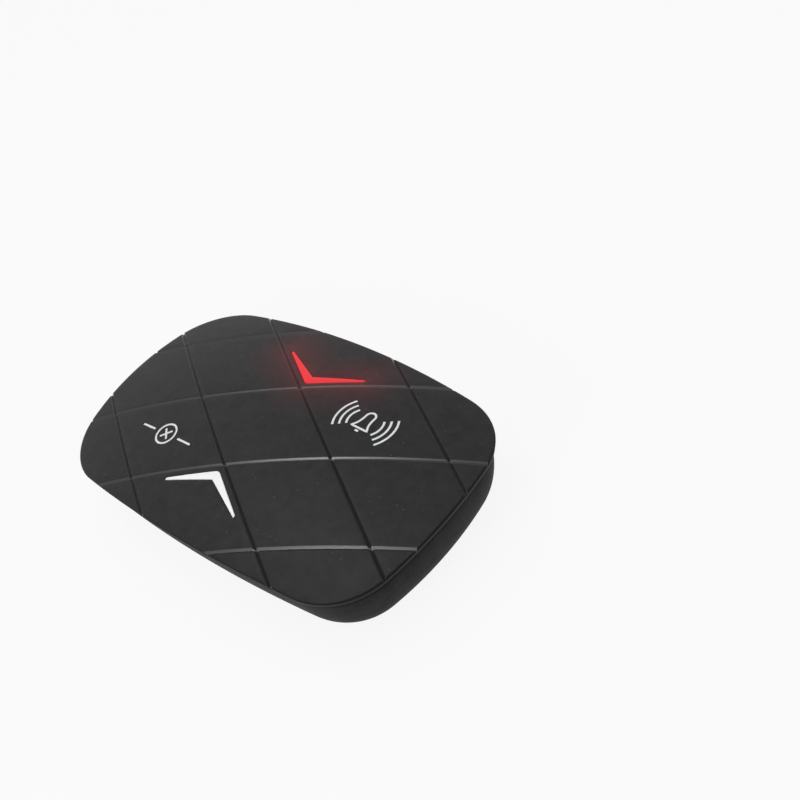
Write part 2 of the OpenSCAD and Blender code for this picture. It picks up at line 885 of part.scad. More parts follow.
module base_shell() {
    color("#2e2e2e")
        difference() {
            union() {
                difference() {
                    bowl(edge_inset, foot_lift);
                    bowl(edge_inset + wall, floor_z, cut);
                }
                translate([0, 0, floor_z - wall/2])
                    cylinder(r = ring_r, h = ring_top - floor_z + wall/2);
                at_screws()
                    translate([0, 0, floor_z - wall/2])
                        cylinder(r = boss_r, h = board_z - floor_z + wall/2);
                door_stops();
                floor_ribs();
            }
            translate([0, 0, foot_lift - cut])
                cylinder(r = flange_r + door_clear, h = ring_z - foot_lift + cut);
            translate([0, 0, foot_lift])
                cylinder(r = cup_r + door_clear, h = ring_top);
            each_bayonet()
                sector(cup_r - cut, lug_tip_r + door_clear, door_turn, bayonet_angle + notch_room,
                       foot_lift + door_t/2, ring_top + cut/2);
            at_screws() {
                translate([0, 0, foot_lift - cut])
                    cylinder(r = foot_r + screw_clear, h = foot_seat + cut);
                translate([0, 0, foot_lift])
                    cylinder(r = screw_head_r + head_clear, h = head_top - foot_lift);
                translate([0, 0, foot_lift])
                    cylinder(r = screw_r + screw_clear, h = board_z);
            }
        }
}

// Ribs on the floor, from the lock ring to the bosses and between the bosses
module floor_ribs() {
    low = floor_z - wall/3;
    for (side = [-1, 1])
        on_side(side)
            translate([0, 0, low])
                linear_extrude(floor_z + rib_h - low) {
                    translate([screw_x - rib_t/2, -screw_y])
                        square([rib_t, screw_pitch_y]);
                    translate([ring_r - wall/2, -rib_t/2])
                        square([screw_x - ring_r + wall/2, rib_t]);
                }
}

// Blocks that end the door's turn where its lugs lock and where they come free
module door_stops() {
    beyond = (bayonet_angle + notch_room + stop_angle)/2 + 1;
    each_bayonet()
        for (place = [-beyond, door_turn + beyond])
            sector(cup_r + 2*door_clear, lug_tip_r + 2*door_clear, place, stop_angle,
                   ring_top - lock_ring_t/2, bayonet_top);
}

// Coin-turned door: a flange under the base and a cup that holds the cell
module battery_door() {
    seal_room = seal_r + touch_gap;
    color("#262626")
        difference() {
            union() {
                translate([0, 0, foot_lift])
                    cylinder(r = flange_r, h = door_t);
                translate([0, 0, foot_lift])
                    cylinder(r = cup_r, h = cup_top - foot_lift);
                each_bayonet()
                    sector(cup_r - cup_wall/2, lug_tip_r, 0, bayonet_angle, bayonet_z, bayonet_top);
            }
            translate([0, 0, foot_lift + door_t])
                cylinder(r = cell_r + cell_clear, h = total_h);
            translate([0, 0, foot_lift + door_t - 2*seal_room + touch_gap])
                difference() {
                    cylinder(r = door_seal_r + seal_room, h = total_h);
                    translate([0, 0, -cut])
                        cylinder(r = door_seal_r - seal_room, h = total_h);
                }
            translate([-coin_slot_l/2, -coin_slot_w/2, foot_lift - cut])
                cube([coin_slot_l, coin_slot_w, coin_slot_d + cut]);
        }
}

module door_seal() {
    color("#141414")
        translate([0, 0, foot_lift + door_t - seal_r])
            rotate_extrude()
                translate([door_seal_r, 0])
                    circle(r = seal_r, $fn = 32);
}

module rubber_feet() {
    color("#1a1a1a")
        at_screws()
            cylinder(r = foot_r, h = foot_top);
}

module case_screws() {
    color("silver")
        at_screws() {
            translate([0, 0, foot_top])
                cylinder(r = screw_head_r, h = screw_head_h);
            translate([0, 0, head_top - screw_head_h/2])
                cylinder(r = screw_r, h = screw_end - head_top);
        }
}

top_cover();
call_lens();
clear_lens();
call_light_guide();
clear_light_guide();
pivot_pins();
inner_frame();
splash_membrane();
circuit_board();
call_switch();
clear_switch();
call_plunger();
clear_plunger();
call_led();
clear_led();
radio_chip();
crystal();
antenna();
board_passives();
coin_cell();
positive_contact();
negative_contact();
base_shell();
battery_door();
door_seal();
rubber_feet();
case_screws();
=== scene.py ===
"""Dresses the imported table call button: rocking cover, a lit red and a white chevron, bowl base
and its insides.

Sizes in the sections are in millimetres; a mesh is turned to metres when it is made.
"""
import math

import bpy
import numpy as np
from mathutils import Matrix, Vector
from mathutils.geometry import delaunay_2d_cdt


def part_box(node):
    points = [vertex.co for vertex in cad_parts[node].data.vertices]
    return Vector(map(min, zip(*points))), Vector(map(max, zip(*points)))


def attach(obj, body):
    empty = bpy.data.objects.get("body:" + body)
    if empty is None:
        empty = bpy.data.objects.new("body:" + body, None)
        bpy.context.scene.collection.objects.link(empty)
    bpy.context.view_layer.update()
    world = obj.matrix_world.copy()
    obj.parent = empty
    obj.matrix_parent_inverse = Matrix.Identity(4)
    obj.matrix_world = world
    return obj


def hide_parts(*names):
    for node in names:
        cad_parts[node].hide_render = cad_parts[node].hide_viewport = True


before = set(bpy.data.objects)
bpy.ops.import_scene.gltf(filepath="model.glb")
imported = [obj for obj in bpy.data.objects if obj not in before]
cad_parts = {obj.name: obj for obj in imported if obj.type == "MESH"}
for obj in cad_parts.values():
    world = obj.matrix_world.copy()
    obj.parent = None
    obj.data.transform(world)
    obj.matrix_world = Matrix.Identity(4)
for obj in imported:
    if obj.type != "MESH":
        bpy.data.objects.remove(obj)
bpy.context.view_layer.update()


# ---------------------------------------------------------------- view, floor and light
# The camera stands in front of the call end, over the near long side, and is rolled as the
# photograph is. Its shift puts the unit left of the picture's middle. Floor and sky are white
# to the eye and to mirrors.

def put(tree, kind, props=None, **inputs):
    """Adds a shader node. props are its own settings.

    inputs are values or output sockets, by input name or by number after an underscore.
    """
    node = tree.nodes.new(kind)
    for name, value in (props or {}).items():
        setattr(node, name, value)
    for name, value in inputs.items():
        socket = node.inputs[int(name[1:]) if name[1:].isdigit() else name.replace("_", " ")]
        if isinstance(value, bpy.types.NodeSocket):
            tree.links.new(value, socket)
        else:
            socket.default_value = value
    return node


def calc(tree, operation, *values, clamp=False):
    """Result of one operation on numbers, held between 0 and 1 or not."""
    inputs = {f"_{index}": value for index, value in enumerate(values)}
    node = put(tree, "ShaderNodeMath", {"operation": operation, "use_clamp": clamp}, **inputs)
    return node.outputs[0]


def ramp(tree, value, low, high, start=0.0, end=1.0):
    """A value between start and end, turned to one between low and high and held there."""
    return put(tree, "ShaderNodeMapRange", Value=value, From_Min=start, From_Max=end,
               To_Min=low, To_Max=high).outputs[0]


def blend(tree, share, first, second, mode="MIX"):
    """A share of the way from the first colour to what the mode makes of the two."""
    return put(tree, "ShaderNodeMix", {"data_type": "RGBA", "blend_type": mode},
               _0=share, _6=first, _7=second).outputs[2]


def noise(tree, place, size_mm, detail, **inputs):
    """Noise of a real size in millimetres, from 0 to 1."""
    return put(tree, "ShaderNodeTexNoise", Vector=place, Scale=1000/size_mm, Detail=detail,
               **inputs).outputs["Fac"]


def tint(hex_code):
    """Linear RGBA of an sRGB hex colour: each channel is undone from the sRGB curve."""
    srgb = np.array([int(hex_code[i:i + 2], 16) for i in (1, 3, 5)])/255
    linear = np.where(srgb <= 0.04045, srgb/12.92, ((srgb + 0.055)/1.055)**2.4)
    return [*linear.tolist(), 1.0]


def scaled(colour, factor):
    """A colour made darker or lighter by a factor."""
    return [*(channel*factor for channel in colour[:3]), 1.0]


def fresh_tree(owner):
    """Empties the node tree of a material or world and returns it."""
    owner.use_nodes = True
    owner.node_tree.nodes.clear()
    return owner.node_tree


def new_material(name):
    """An empty material, its node tree, and the place on the piece that its patterns read."""
    material = bpy.data.materials.new(name)
    tree = fresh_tree(material)
    return material, tree, put(tree, "ShaderNodeTexCoord").outputs["Object"]


def surface(tree, **inputs):
    """Gives a material's tree its Principled shader, joined to the output."""
    shader = put(tree, "ShaderNodeBsdfPrincipled", **inputs)
    put(tree, "ShaderNodeOutputMaterial", Surface=shader.outputs[0])


def add_object(name, data):
    """New object in the scene with the given data."""
    made = bpy.data.objects.new(name, data)
    bpy.context.scene.collection.objects.link(made)
    return made


camera = add_object("camera", bpy.data.cameras.new("camera"))
bpy.context.scene.camera = camera
camera.data.sensor_width = 36
camera.data.lens = 58.68
camera.data.clip_start = 0.01
camera.data.shift_x, camera.data.shift_y = 0.1375, 0.085
camera_place = (0.16688, -0.07819, 0.17490)
camera_turn, camera_tilt, camera_roll = 64.66, 47.61, -28.44
camera.matrix_world = (Matrix.Translation(camera_place)
                       @ Matrix.Rotation(math.radians(camera_turn), 4, "Z")
                       @ Matrix.Rotation(math.radians(camera_tilt), 4, "X")
                       @ Matrix.Rotation(math.radians(camera_roll), 4, "Z"))

bpy.context.scene.view_settings.view_transform = "Standard"


def sees_background(tree):
    """1 for rays from the camera, from a mirror or through glass, otherwise 0."""
    path = put(tree, "ShaderNodeLightPath")
    share = path.outputs["Is Camera Ray"]
    for ray in ("Is Glossy Ray", "Is Transmission Ray"):
        share = calc(tree, "MAXIMUM", share, path.outputs[ray])
    return share


world = bpy.data.worlds.new("soft_sky")
bpy.context.scene.world = world
tree = fresh_tree(world)
direction = put(tree, "ShaderNodeTexCoord").outputs["Generated"]
up = put(tree, "ShaderNodeSeparateXYZ", Vector=direction).outputs["Z"]
level = ramp(tree, calc(tree, "POWER", up, 2.0, clamp=True), 0.12, 1.0)
sky = put(tree, "ShaderNodeBackground", Color=tint("#f2f4f6"), Strength=level)
white = put(tree, "ShaderNodeBackground", Color=(1, 1, 1, 1), Strength=1.0)
mix = put(tree, "ShaderNodeMixShader", _0=sees_background(tree),
          _1=sky.outputs[0], _2=white.outputs[0])
put(tree, "ShaderNodeOutputWorld", Surface=mix.outputs[0])

floor_mesh = bpy.data.meshes.new("floor")
floor_mesh.from_pydata([(-4, -4, 0), (4, -4, 0), (4, 4, 0), (-4, 4, 0)], [], [(0, 1, 2, 3)])
floor = add_object("floor", floor_mesh)
# White to the camera, but for a tenth that is left matte to keep the object's shadow
floor_white = 0.9
pale = bpy.data.materials.new("pale_table")
tree = fresh_tree(pale)
matte = put(tree, "ShaderNodeBsdfDiffuse", Color=tint("#cacaca"))
glow = put(tree, "ShaderNodeEmission", Color=(1, 1, 1, 1), Strength=1.0)
seen = calc(tree, "MULTIPLY", sees_background(tree), floor_white)
mix = put(tree, "ShaderNodeMixShader", _0=seen, _1=matte.outputs[0], _2=glow.outputs[0])
put(tree, "ShaderNodeOutputMaterial", Surface=mix.outputs[0])
floor_mesh.materials.append(pale)

# Each lamp: size, place and power. The first stands where the far walls of the grooves that run
# from left to right in the picture mirror it to the camera, and the second where the near corner
# does. The third is soft.
for size, place, watts in ((0.15, (0.12, -0.70, 0.41), 1.7),
                           (0.12, (-0.34, 0.04, 0.74), 0.6),
                           (0.60, (0.14, -0.14, 0.90), 2.4)):
    light = bpy.data.lights.new("lamp", "AREA")
    light.size = size
    light.energy = watts
    lamp = add_object("lamp", light)
    aim = Vector(place).to_track_quat("Z", "Y").to_matrix().to_4x4()
    lamp.matrix_world = Matrix.Translation(place) @ aim


# ---------------------------------------------------------------- rocking cover
# One black ABS moulding 1.5 mm thick: a plate crowned both ways, cut by eight V grooves that
# cross in diamonds, with a rounded rim. It turns on two pins and covers the whole base.

cover_high = np.array(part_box("top_cover")[1])*1000
cover_top = cover_high[2]
cover_t = 1.5
half_size = cover_high[:2]
crown_long_r, crown_short_r = 245, 110
end_r, side_r, corner_r = 65, 265, 14.6


def crown(p, drop=0.0):
    """Height of the crown: a circle across the width, carried round a larger one lengthwise."""
    x, y = p[..., 0], p[..., 1]
    reach = crown_long_r - crown_short_r + np.sqrt((crown_short_r - drop)**2 - y*y)
    return cover_top - crown_long_r + np.sqrt(reach*reach - x*x)


# Corner arcs that touch an end arc and a side arc from inside
end_centre = np.array([half_size[0] - end_r, 0])
side_centre = np.array([0, half_size[1] - side_r])
end_gap, side_gap = end_r - corner_r, side_r - corner_r
between = side_centre - end_centre
apart = np.linalg.norm(between)
along = (end_gap**2 - side_gap**2 + apart**2)/(2*apart)
across = math.sqrt(end_gap**2 - along**2)
corner_centre = (end_centre + along*between/apart
                 + across*np.array([-between[1], between[0]])/apart)
end_angle = math.atan2(*(corner_centre - end_centre)[::-1])
side_angle = math.atan2(*(corner_centre - side_centre)[::-1])
# Steps of a quadrant's end, corner and side arcs
end_steps, corner_steps, side_steps = 14, 26, 42


def outline(inset):
    """Closed plan outline drawn in by an inset: the first quadrant's three arcs, then mirrored.

    A point on an arc is its centre plus (radius - inset) times (cos a, sin a), a in even steps.
    """
    arcs = [(end_centre, end_r, 0, end_angle, end_steps),
            (corner_centre, corner_r, end_angle, side_angle, corner_steps),
            (side_centre, side_r, side_angle, math.pi/2, side_steps)]
    quarter = []
    for centre, r, first, last, count in arcs:
        a = first + (last - first)*np.arange(count)/count
        quarter.append(centre + (r - inset)*np.stack([np.cos(a), np.sin(a)], 1))
    quarter = np.concatenate(quarter + [[[0, half_size[1] - inset]]])
    back = quarter[-2::-1]*[-1, 1]
    half = np.concatenate([quarter, back])
    return np.concatenate([half, half[-2:0:-1]*[1, -1]])


def outline_depth(p):
    """How far a plan point lies inside the outline, and the way out to the nearest edge.

    The point is folded into the first quadrant; in the corner's sector the corner arc counts,
    and elsewhere the nearer of the end arc and the side arc.
    """
    sign = np.where(p < 0, -1.0, 1.0)
    q = np.abs(p)
    spokes = [q - centre for centre in (corner_centre, end_centre, side_centre)]
    lengths = [np.linalg.norm(s, axis=-1) for s in spokes]
    depths = [r - length for r, length in zip((corner_r, end_r, side_r), lengths)]
    angle = np.arctan2(spokes[0][..., 1], spokes[0][..., 0])
    in_corner = (angle > end_angle) & (angle < side_angle)
    pick = np.where(in_corner, 0, np.where(depths[1] < depths[2], 1, 2))
    depth = np.choose(pick, depths)
    units = np.stack([s/np.maximum(length, 1e-9)[..., None]
                      for s, length in zip(spokes, lengths)])
    out = np.take_along_axis(units, pick[None, ..., None], 0)[0]*sign
    return depth, out


diamond_half = 18.2
groove_lean = math.radians(30)
groove_w, groove_d = 0.9, 0.5
grooves = [(turn, k*diamond_half*math.sin(groove_lean))
           for turn in (-groove_lean, groove_lean) for k in (-3, -1, 1, 3)]
# Profile across a groove: share of the half width, and share of the depth there
groove_profile = np.array([[0, 1], [0.06, 0.96], [0.68, 0.27], [0.8, 0.145], [0.88, 0.075],
                           [0.95, 0.03], [1.02, 0.01], [1.1, 0]])


def groove_distance(p, turn, distance):
    """How far a plan point lies from the middle line of a groove."""
    return np.abs(p[..., 1]*math.cos(turn) - p[..., 0]*math.sin(turn) - distance)


def groove_drop(p):
    """Depth of the deepest groove at a plan point: the profile, read at its distance from each."""
    deepest = np.zeros(p.shape[:-1])
    for groove in grooves:
        off = groove_distance(p, *groove)/(groove_w/2)
        share = np.interp(off, groove_profile[:, 0], groove_profile[:, 1])
        deepest = np.maximum(deepest, groove_d*share)
    return deepest


def resample(loop, step, swell=0.001):
    """Adds evenly spaced points to the long edges of a loop that runs anticlockwise.

    Each edge swells out by a micron, by 4 t (1 - t) of it at a share t, so that no three points
    are in line.
    """
    parts = []
    for start, end in zip(loop, np.roll(loop, -1, 0)):
        length = float(np.linalg.norm(end - start))
        count = max(1, round(length/step))
        t = np.arange(count)[:, None]/count
        out = np.array([end[1] - start[1], start[0] - end[0]])/length
        parts.append(start + (end - start)*t + out*swell*4*t*(1 - t))
    return np.concatenate(parts)


chevron_half, chevron_w, chevron_tip_w, chevron_elbow_r = 9.9, 2.0, 0.5, 1.2
chevron_y = diamond_half*math.tan(groove_lean) + 1.5
chevron_step, elbow_steps = 0.5, 10


def chevron(grow, side):
    """Closed outline of a chevron, grown all round: two straight arms that taper to blunt tips,
    joined by a round outer elbow. side is 1 for the red one and -1 for the white one."""
    rise = chevron_half*math.tan(groove_lean)
    inner_rise = (rise + chevron_tip_w - chevron_w)/chevron_half
    outer_low = -grow/math.cos(groove_lean)
    inner_low = chevron_w + grow*math.hypot(1, inner_rise)
    tip = chevron_half + grow
    corners = [[tip, outer_low + tip*math.tan(groove_lean)], [tip, inner_low + tip*inner_rise],
               [0, inner_low], [-tip, inner_low + tip*inner_rise],
               [-tip, outer_low + tip*math.tan(groove_lean)]]
    a = -math.pi/2 + groove_lean*np.linspace(-1, 1, elbow_steps + 1)
    bend = ([0, chevron_elbow_r/math.cos(groove_lean)]
            + (chevron_elbow_r + grow)*np.stack([np.cos(a), np.sin(a)], 1))
    loop = np.concatenate([corners, bend]) + [0, chevron_y]
    return resample(loop, chevron_step)*side


def loop_distance(p, loop):
    """Shortest distance from each point to a closed loop, over the nearest points of its edges."""
    a, b = loop, np.roll(loop, -1, 0)
    ab = b - a
    t = np.clip(((p[:, None] - a)*ab).sum(-1)/np.maximum((ab*ab).sum(-1), 1e-12), 0, 1)
    return np.linalg.norm(p[:, None] - a - t[..., None]*ab, axis=-1).min(1)


def within(p, loop):
    """Whether a ray along x from each point crosses a loop an odd number of times."""
    a, b = loop, np.roll(loop, -1, 0)
    x, y = p[:, None, 0], p[:, None, 1]
    spans = (a[:, 1] > y) != (b[:, 1] > y)
    rise = np.where(spans, b[:, 1] - a[:, 1], 1.0)
    crossed = spans & (x < a[:, 0] + (b[:, 0] - a[:, 0])*(y - a[:, 1])/rise)
    return crossed.sum(1) % 2 == 1


def triangulate(points, edges, inside):
    """Constrained triangulation of a plan: its points, its faces, and where given points went.

    Faces that share an edge which isn't a given one form a region. A region stays where the
    middle of its largest face is inside, so that thin slivers along a given edge go with their
    neighbours.
    """
    merge = 1e-7
    out, links, faces, origins, sources, _ = delaunay_2d_cdt(
        [tuple(p) for p in points], edges, [], 0, merge)
    plan, faces = np.array([tuple(v) for v in out]), np.array(faces)
    place = np.zeros(len(points), int)
    for index, given in enumerate(origins):
        place[given] = index
    code = np.array([len(plan), 1])
    fixed = np.sort([link for link, source in zip(links, sources) if source], 1) @ code
    sides = np.sort(faces[:, [[0, 1], [1, 2], [2, 0]]], -1) @ code
    free = ~np.isin(sides, fixed)
    owners = np.nonzero(free)[0]
    order = np.argsort(sides[free], kind="stable")
    key, owners = sides[free][order], owners[order]
    twin = np.flatnonzero(key[1:] == key[:-1])
    one, other = owners[twin], owners[twin + 1]
    region = np.arange(len(faces))
    while True:
        low = region.copy()
        np.minimum.at(low, one, region[other])
        np.minimum.at(low, other, region[one])
        low = low[low]
        if (low == region).all():
            break
        region = low
    a, b, c = plan[faces].transpose(1, 0, 2)
    area = np.abs((b[:, 0] - a[:, 0])*(c[:, 1] - a[:, 1])
                  - (b[:, 1] - a[:, 1])*(c[:, 0] - a[:, 0]))
    rank = np.argsort(area)
    largest = np.zeros(len(faces), int)
    largest[region[rank]] = rank
    roots, back = np.unique(region, return_inverse=True)
    return plan, faces[inside(plan[faces[largest[roots]]].mean(1))[back]], place


def loop_edges(first, count):
    """Edges that close a run of points into a loop."""
    return [(first + i, first + (i + 1) % count) for i in range(count)]


def edges_of_loops(loops):
    """Number of each loop's first point when they follow one another, and all their edges."""
    starts = np.cumsum([0] + [len(loop) for loop in loops])
    return starts, [e for first, loop in zip(starts, loops)
                    for e in loop_edges(int(first), len(loop))]


def wall_faces(upper, lower):
    """Quads between two closed rows of point numbers of the same length."""
    return np.stack([upper, lower, np.roll(lower, -1), np.roll(upper, -1)], 1).tolist()


def shape(name, points, faces):
    """Object made of points in millimetres and faces, turned outwards if its volume is negative.

    The volume is a sixth of the sum, over the fans of every face, of a . (b x c).
    """
    points = np.asarray(points, float)
    fans = np.array([(f[0], f[i], f[i + 1]) for f in faces for i in range(1, len(f) - 1)])
    a, b, c = points[fans].transpose(1, 0, 2)
    if (a*np.cross(b, c)).sum() < 0:
        faces = [f[::-1] for f in faces]
    mesh = bpy.data.meshes.new(name)
    mesh.from_pydata((points*0.001).tolist(), [], [list(map(int, f)) for f in faces])
    mesh.validate()
    return add_object(name, mesh)


def dress(piece, body, material, sharp=35):
    """Gives a piece its one material, smooth faces with sharp edges past an angle, and the body
    it rides on."""
    piece.data.materials.clear()
    piece.data.materials.append(material)
    piece.data.polygons.foreach_set("use_smooth", np.ones(len(piece.data.polygons), bool))
    piece.data.set_sharp_from_angle(angle=math.radians(sharp))
    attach(piece, body)


def combine(piece, tool, operation):
    """Applies a Boolean of a tool to a piece and removes the tool."""
    cut = piece.modifiers.new("cut", "BOOLEAN")
    cut.object, cut.operation, cut.solver = tool, operation, "MANIFOLD"
    whole = piece.evaluated_get(bpy.context.evaluated_depsgraph_get())
    finished = bpy.data.meshes.new_from_object(whole)
    piece.modifiers.clear()
    piece.data = finished
    bpy.data.objects.remove(tool)


def moulding_copy(node):
    """Copy of a CAD node's mesh, with its loose triangles merged into one closed surface."""
    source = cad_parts[node].data
    points = np.empty(len(source.vertices)*3)
    source.vertices.foreach_get("co", points)
    microns = np.round(points.reshape(-1, 3)*1e6).astype(int)
    keys, place = np.unique(microns, axis=0, return_inverse=True)
    corners = np.empty(len(source.loops), int)
    source.loops.foreach_get("vertex_index", corners)
    faces = place.ravel()[corners].reshape(-1, 3)
    whole = (faces != np.roll(faces, -1, 1)).all(1)
    return shape(node + "_copy", keys*0.001, faces[whole].tolist())


def loft(rings):
    """Points and faces of the solid through closed rings of equal length, with fanned ends."""
    count = len(rings[0])
    points = np.concatenate([*rings, [rings[0].mean(0)], [rings[-1].mean(0)]])
    rows = np.arange(len(rings)*count).reshape(len(rings), count)
    faces = [f for low, high in zip(rows[:-1], rows[1:]) for f in wall_faces(high, low)]
    for row, centre in ((rows[0], len(points) - 2), (rows[-1][::-1], len(points) - 1)):
        faces += np.stack([np.full(count, centre), np.roll(row, -1), row], 1).tolist()
    return points, faces


def lid_rings(inset, drop, count=24):
    """Rings of an outline shrunk to a hundredth in even steps, a drop below the crown."""
    edge = outline(inset)
    return [np.column_stack([edge*s, crown(edge*s, drop)]) for s in np.linspace(1, 0.01, count)]


def block_under_crown(inset, drop, low):
    """Solid from a flat level up to a face a drop below the crown, drawn in by an inset."""
    edge = outline(inset)
    floor_ring = np.column_stack([edge, np.full(len(edge), low)])
    return shape("block", *loft([floor_ring, *lid_rings(inset, drop)]))


def prism(loop, low, high):
    """Upright solid over a closed plan loop that runs anticlockwise, both ends triangulated."""
    plan, faces, place = triangulate(loop, loop_edges(0, len(loop)), lambda p: within(p, loop))
    count = len(plan)
    points = np.concatenate([np.column_stack([plan, np.full(count, high)]),
                             np.column_stack([plan, np.full(count, low)])])
    return shape("prism", points, faces.tolist() + (faces[:, ::-1] + count).tolist()
                 + wall_faces(place, place + count))


def lattice(x, y, step):
    """Plan points in a square lattice out to x and y."""
    return np.stack(np.meshgrid(np.arange(-x, x, step), np.arange(-y, y, step)),
                    -1).reshape(-1, 2)


def edge_round(r, depth):
    """Drop of a rounded edge of radius r at a depth inside it: r - sqrt(r^2 - (r - d)^2)."""
    return r - np.sqrt(r**2 - np.clip(r - depth, 0, r)**2)


rim_round, low_round, rim_draft = 0.4, 0.2, 0.3
rim_steps = 6
hole_fit, hole_round = 0.06, 0.14
skin_t = 1.45
# A groove's lines are laid out finely, cut where they leave the outline by more than the slack,
# and thinned to a point a millimetre. Grid points keep clear of rim, grooves and windows.
line_reach, line_step, line_slack, line_thin = 60, 0.02, 0.04, 50
rim_clear, groove_clear, hole_clear = 0.5, 0.4, 0.5
under_rim_clear, under_hole_clear = 2, 1


def plate():
    """Points and faces of the grooved plate.

    Plan points lie on the rim's rings, on lines along the grooves, round the windows and on a
    grid between. Each top point's height is the crown's, less the groove's depth and the
    rounding of the nearest edge. The rim's wall leans in by a small draft.
    """
    points, edges = [], []

    def add(loop, closed):
        first = sum(map(len, points))
        points.append(loop)
        if closed:
            edges.extend(loop_edges(first, len(loop)))
        else:
            edges.extend((first + i, first + i + 1) for i in range(len(loop) - 1))
        return first + np.arange(len(loop))

    holes = [chevron(hole_fit, side) for side in (1, -1)]
    hole_rows = [add(hole, True) for hole in holes]
    for side in (1, -1):
        for share in (0.4, 1.0):
            add(chevron(hole_fit + hole_round*share, side), True)
    for k in range(rim_steps + 1):
        add(outline(rim_round*(1 - math.cos(math.pi/2*k/rim_steps))), True)
    for turn, distance in grooves:
        line = np.array([math.cos(turn), math.sin(turn)])
        across = np.array([-math.sin(turn), math.cos(turn)])
        for share in np.concatenate([-groove_profile[:0:-1, 0], groove_profile[:, 0]]):
            base = across*(distance + share*groove_w/2)
            fine = base + line*np.arange(-line_reach, line_reach, line_step)[:, None]
            inside = np.flatnonzero(outline_depth(fine)[0] > -line_slack)
            if len(inside) > 2*line_thin:
                count = max(3, len(inside)//line_thin)
                add(fine[inside[np.linspace(0, len(inside) - 1, count).astype(int)]], False)
    grid = lattice(43, 26.5, 1.25)
    free = outline_depth(grid)[0] > rim_round + rim_clear
    for groove in grooves:
        free &= groove_distance(grid, *groove) > groove_w/2*groove_profile[-1, 0] + groove_clear
    for hole in holes:
        free &= loop_distance(grid, hole) > hole_clear

    plan, faces, place = triangulate(
        np.concatenate([*points, grid[free]]), edges,
        lambda p: within(p, outline(0)) & ~within(p, holes[0]) & ~within(p, holes[1]))
    hole_rows = [place[row] for row in hole_rows]
    # The rim is followed from face edge to face edge, over those that no second face uses
    sides = np.concatenate([faces[:, [0, 1]], faces[:, [1, 2]], faces[:, [2, 0]]])
    lone = sides[~np.isin(sides @ [len(plan), 1], sides @ [1, len(plan)])]
    after = dict(lone.tolist())
    rim = [int(np.argmax(plan[:, 0]))]
    while after[rim[-1]] != rim[0]:
        rim.append(after[rim[-1]])
    rim = np.array(rim)
    short, out = outline_depth(plan[rim])
    plan[rim] += out*short[:, None]
    edge = edge_round(rim_round, outline_depth(plan)[0])
    near = np.minimum(loop_distance(plan, holes[0]), loop_distance(plan, holes[1]))
    lip = hole_round*np.clip(1 - near/hole_round, 0, 1)**2
    height = crown(plan) - np.maximum(groove_drop(plan), edge) - lip
    top = np.column_stack([plan, height])

    # The rim's wall in three steps, then the rounding at its foot
    low = crown(plan[rim], skin_t)
    rows, levels = [rim], []
    for share in (0.33, 0.66, 1.0):
        levels.append((rim_draft*share, height[rim] + (low + low_round - height[rim])*share))
    for a in np.radians([30, 60, 90]):
        levels.append((rim_draft + low_round*(1 - math.cos(a)),
                       low + low_round*(1 - math.sin(a))))
    walls, extra, count = [], [], len(plan)
    for inset, level in levels:
        extra.append(np.column_stack([plan[rim] - out*inset, level]))
        rows.append(count + np.arange(len(rim)))
        count += len(rim)
        walls += wall_faces(rows[-2], rows[-1])

    # Underside: the same rim and window holes, at the crown less the plate's thickness
    ring = extra[-1][:, :2]
    coarse = lattice(42, 26, 3)
    coarse = coarse[(outline_depth(coarse)[0] > under_rim_clear)
                    & (loop_distance(coarse, holes[0]) > under_hole_clear)
                    & (loop_distance(coarse, holes[1]) > under_hole_clear)]
    loops = [ring, *holes]
    starts, under_edges = edges_of_loops(loops)
    under, under_faces, place = triangulate(
        np.concatenate(loops + [coarse]), under_edges,
        lambda p: within(p, ring) & ~within(p, holes[0]) & ~within(p, holes[1]))
    number = np.full(len(under), -1)
    number[place[:len(ring)]] = rows[-1]
    fresh = np.flatnonzero(number < 0)
    number[fresh] = count + np.arange(len(fresh))
    extra.append(np.column_stack([under[fresh], crown(under[fresh], skin_t)]))
    walls += number[under_faces][:, ::-1].tolist()
    for row, first, last in zip(hole_rows, starts[1:], starts[2:]):
        walls += wall_faces(number[place[first:last]], row)
    return np.concatenate([top, *extra]), faces.tolist() + walls


def chevron_reach(tree, place):
    """Distance in metres of a point from the red chevron's centre line, worked out by nodes.

    x is folded to one arm. The point's share along the arm is (p . d)/(d . d), held between 0
    and 1, and the distance is the length of p less that share of d, where d runs from the elbow
    to the tip.
    """
    arm = np.array([chevron_half, chevron_half*math.tan(groove_lean) - chevron_w/2, 0])*0.001
    axes = put(tree, "ShaderNodeSeparateXYZ", Vector=place)
    folded = calc(tree, "ABSOLUTE", axes.outputs["X"])
    lifted = calc(tree, "SUBTRACT", axes.outputs["Y"], (chevron_y + chevron_w/2)*0.001)
    point = put(tree, "ShaderNodeCombineXYZ", X=folded, Y=lifted).outputs[0]
    dot = put(tree, "ShaderNodeVectorMath", {"operation": "DOT_PRODUCT"}, _0=point, _1=arm)
    share = calc(tree, "DIVIDE", dot.outputs["Value"], float(arm @ arm), clamp=True)
    foot = put(tree, "ShaderNodeVectorMath", {"operation": "SCALE"}, _0=arm, Scale=share)
    rest = put(tree, "ShaderNodeVectorMath", {"operation": "DISTANCE"},
               _0=point, _1=foot.outputs[0])
    return rest.outputs["Value"]


